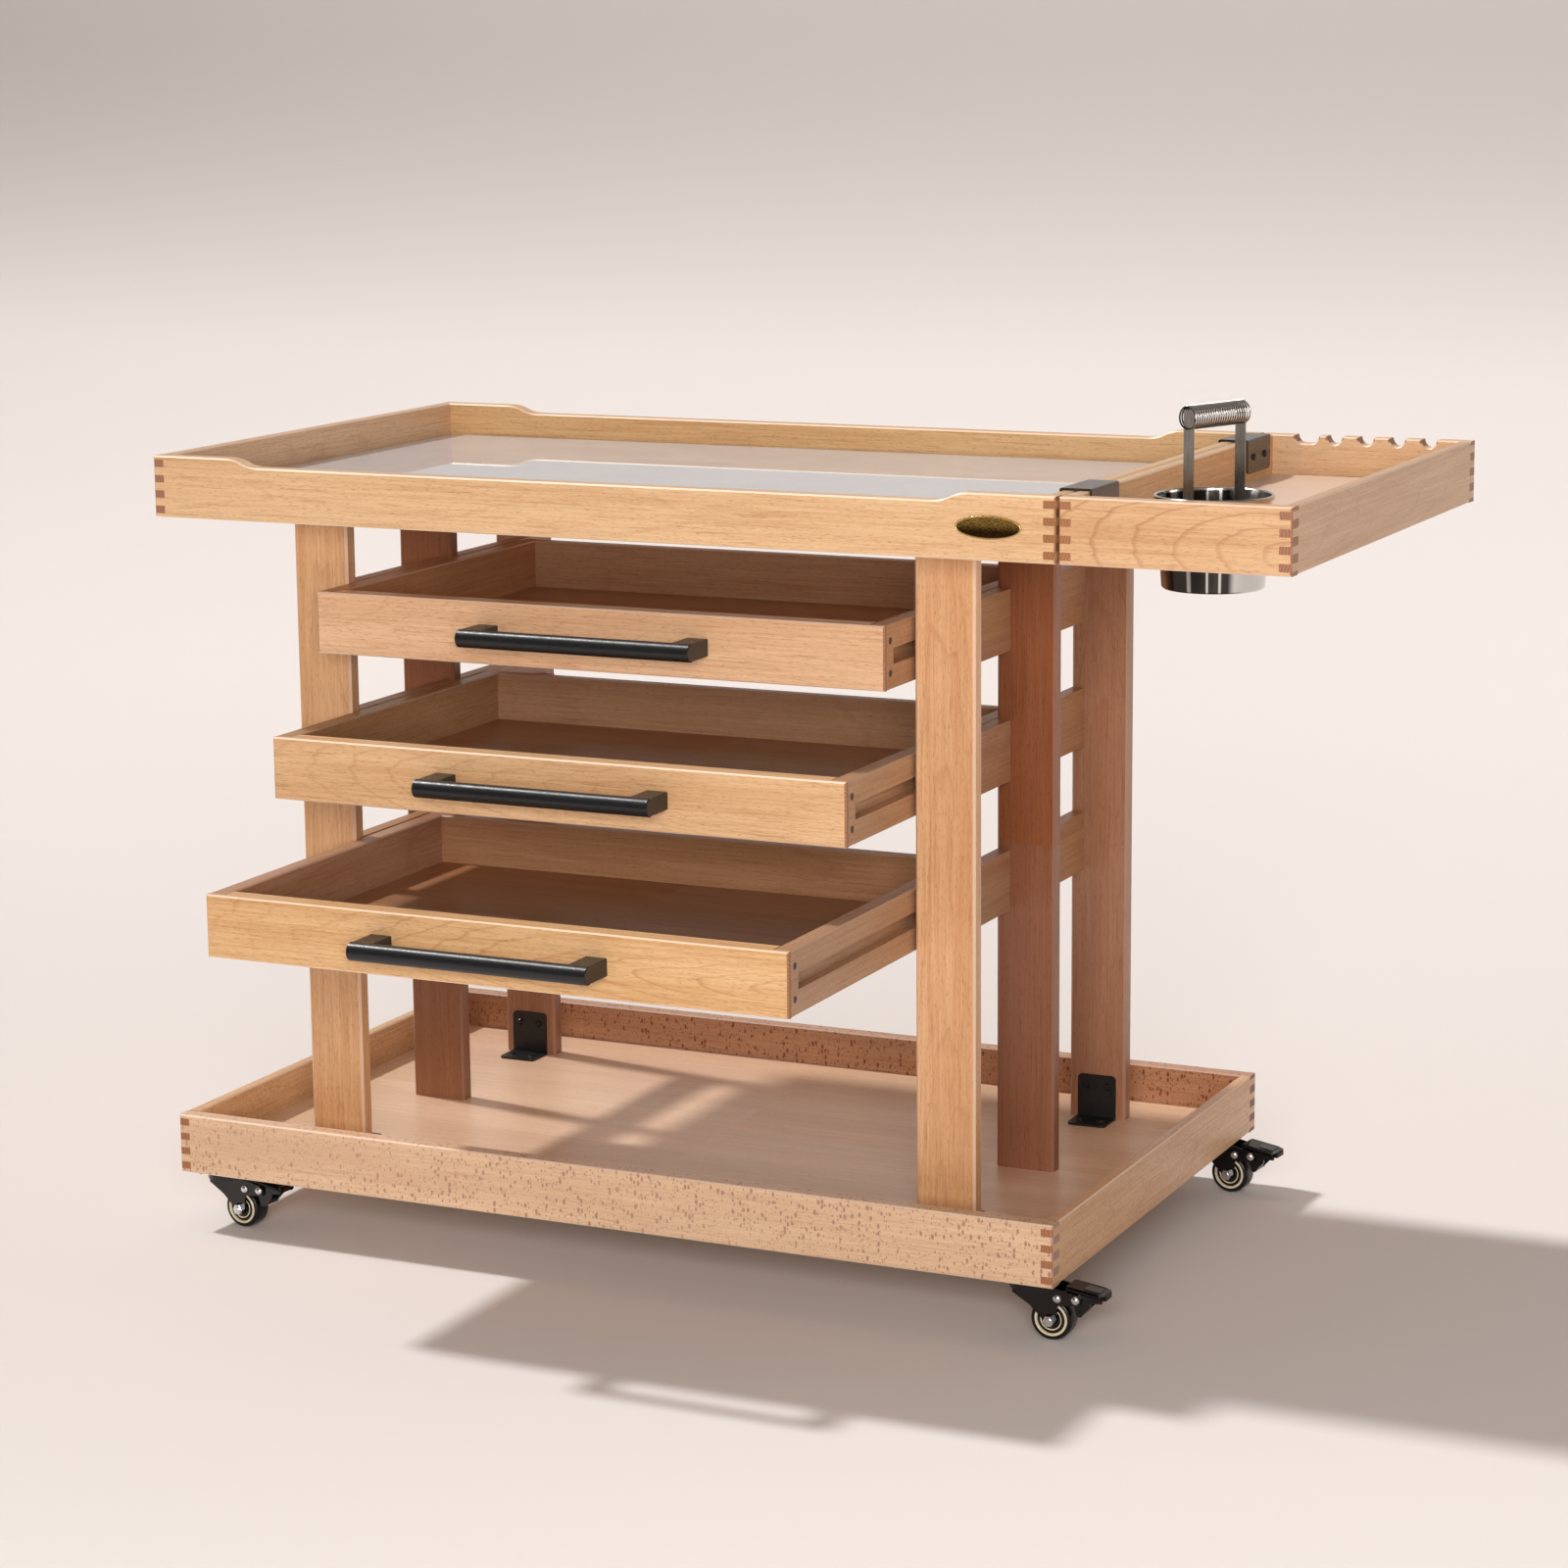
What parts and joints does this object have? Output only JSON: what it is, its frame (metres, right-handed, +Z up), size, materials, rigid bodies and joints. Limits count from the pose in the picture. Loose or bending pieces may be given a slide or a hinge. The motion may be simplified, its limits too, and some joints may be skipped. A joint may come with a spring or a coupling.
{
  "type": "art supply cart",
  "caption": "Rolling wooden art cart with glass-lined top tray, open base tray, pull-out drawers, a hanging side tray and a steel brush bucket.",
  "frame": {"origin": "under the middle of the bounding box, on the floor that the wheels stand on", "axes": "+X towards the side tray, +Y towards the back, away from the drawers' handles, +Z up"},
  "size_m": [1.0034, 0.706, 0.7445],
  "materials": {
    "beech": "satin lacquer",
    "glass": "clear",
    "black_metal": "black powder coat",
    "brass_plate": "dark polished",
    "steel": "brushed",
    "bright_steel": "bright",
    "tyre_rubber": "satin"
  },
  "bodies": {
    "top_drawer": {"top_drawer_front": "beech", "top_drawer_box": "beech", "top_drawer_bottom": "beech", "top_drawer_handle": "black_metal", "top_drawer_screws": "black_metal"},
    "middle_drawer": {"middle_drawer_front": "beech", "middle_drawer_box": "beech", "middle_drawer_bottom": "beech", "middle_drawer_handle": "black_metal", "middle_drawer_screws": "black_metal"},
    "bottom_drawer": {"bottom_drawer_front": "beech", "bottom_drawer_box": "beech", "bottom_drawer_bottom": "beech", "bottom_drawer_handle": "black_metal", "bottom_drawer_screws": "black_metal"},
    "side_tray": {"side_tray_front_rail": "beech", "side_tray_rear_rail": "beech", "side_tray_left_rail": "beech", "side_tray_right_rail": "beech", "side_tray_panel": "beech", "hanging_brackets": "black_metal", "hanging_bracket_screws": "black_metal"},
    "bucket": {"brush_bucket": "steel"},
    "brush_holder": {"brush_holder_frame": "steel", "brush_spring": "bright_steel"},
    "front_left_caster": {"front_left_fork": "black_metal"},
    "front_left_wheel_body": {"front_left_wheel": "tyre_rubber"},
    "front_left_brake": {"front_left_pedal": "black_metal"},
    "front_right_caster": {"front_right_fork": "black_metal"},
    "front_right_wheel_body": {"front_right_wheel": "tyre_rubber"},
    "front_right_brake": {"front_right_pedal": "black_metal"},
    "rear_left_caster": {"rear_left_fork": "black_metal"},
    "rear_left_wheel_body": {"rear_left_wheel": "tyre_rubber"},
    "rear_left_brake": {"rear_left_pedal": "black_metal"},
    "rear_right_caster": {"rear_right_fork": "black_metal"},
    "rear_right_wheel_body": {"rear_right_wheel": "tyre_rubber"},
    "rear_right_brake": {"rear_right_pedal": "black_metal"},
    "cart": {"base_front_rail": "beech", "base_rear_rail": "beech", "base_left_rail": "beech", "base_right_rail": "beech", "base_panel": "beech", "top_front_rail": "beech", "top_rear_rail": "beech", "top_left_rail": "beech", "top_right_rail": "beech", "top_panel": "beech", "front_left_post": "beech", "front_right_post": "beech", "rear_left_post": "beech", "rear_right_post": "beech", "middle_posts": "beech", "drawer_guide_boards": "beech", "drawer_runners": "beech", "corner_blocks": "beech", "glass_top": "glass", "badge_plate": "brass_plate", "post_brackets": "black_metal", "frame_screws": "black_metal", "caster_plates": "bright_steel"}
  },
  "joints": [
    {"name": "top_drawer_slide", "type": "slide", "parent": "cart", "child": "top_drawer", "axis": [0, -1, 0], "range_m": [-0.054, 0.206]},
    {"name": "middle_drawer_slide", "type": "slide", "parent": "cart", "child": "middle_drawer", "axis": [0, -1, 0], "range_m": [-0.129, 0.131]},
    {"name": "bottom_drawer_slide", "type": "slide", "parent": "cart", "child": "bottom_drawer", "axis": [0, -1, 0], "range_m": [-0.236, 0.024]},
    {"name": "side_tray_lift", "type": "slide", "parent": "cart", "child": "side_tray", "axis": [0, 0, 1], "range_m": [0, 0.05]},
    {"name": "bucket_lift", "type": "slide", "parent": "side_tray", "child": "bucket", "axis": [0, 0, 1], "range_m": [0, 0.08]},
    {"name": "brush_holder_lift", "type": "slide", "parent": "bucket", "child": "brush_holder", "axis": [0, 0, 1], "range_m": [0, 0.08]},
    {"name": "front_left_swivel", "type": "hinge", "parent": "cart", "child": "front_left_caster", "pos_m": [-0.47225, -0.1175, 0.047], "axis": [0, 0, 1], "continuous": true},
    {"name": "front_left_roll", "type": "hinge", "parent": "front_left_caster", "child": "front_left_wheel_body", "pos_m": [-0.45236, -0.11959, 0.0175], "axis": [0.1045, 0.9945, 0], "continuous": true},
    {"name": "front_left_brake_press", "type": "hinge", "parent": "front_left_caster", "child": "front_left_brake", "pos_m": [-0.43048, -0.12189, 0.037], "axis": [0.1045, 0.9945, 0], "range_deg": [0, 26]},
    {"name": "front_right_swivel", "type": "hinge", "parent": "cart", "child": "front_right_caster", "pos_m": [0.28475, -0.1175, 0.047], "axis": [0, 0, 1], "continuous": true},
    {"name": "front_right_roll", "type": "hinge", "parent": "front_right_caster", "child": "front_right_wheel_body", "pos_m": [0.30475, -0.1175, 0.0175], "axis": [0, 1, 0], "continuous": true},
    {"name": "front_right_brake_press", "type": "hinge", "parent": "front_right_caster", "child": "front_right_brake", "pos_m": [0.32675, -0.1175, 0.037], "axis": [0, 1, 0], "range_deg": [0, 26]},
    {"name": "rear_left_swivel", "type": "hinge", "parent": "cart", "child": "rear_left_caster", "pos_m": [-0.47225, 0.3235, 0.047], "axis": [0, 0, 1], "continuous": true},
    {"name": "rear_left_roll", "type": "hinge", "parent": "rear_left_caster", "child": "rear_left_wheel_body", "pos_m": [-0.45269, 0.32766, 0.0175], "axis": [-0.2079, 0.9781, 0], "continuous": true},
    {"name": "rear_left_brake_press", "type": "hinge", "parent": "rear_left_caster", "child": "rear_left_brake", "pos_m": [-0.43117, 0.33223, 0.037], "axis": [-0.2079, 0.9781, 0], "range_deg": [0, 26]},
    {"name": "rear_right_swivel", "type": "hinge", "parent": "cart", "child": "rear_right_caster", "pos_m": [0.28475, 0.3235, 0.047], "axis": [0, 0, 1], "continuous": true},
    {"name": "rear_right_roll", "type": "hinge", "parent": "rear_right_caster", "child": "rear_right_wheel_body", "pos_m": [0.30464, 0.32141, 0.0175], "axis": [0.1045, 0.9945, 0], "continuous": true},
    {"name": "rear_right_brake_press", "type": "hinge", "parent": "rear_right_caster", "child": "rear_right_brake", "pos_m": [0.32652, 0.31911, 0.037], "axis": [0.1045, 0.9945, 0], "range_deg": [0, 26]}
  ]
}
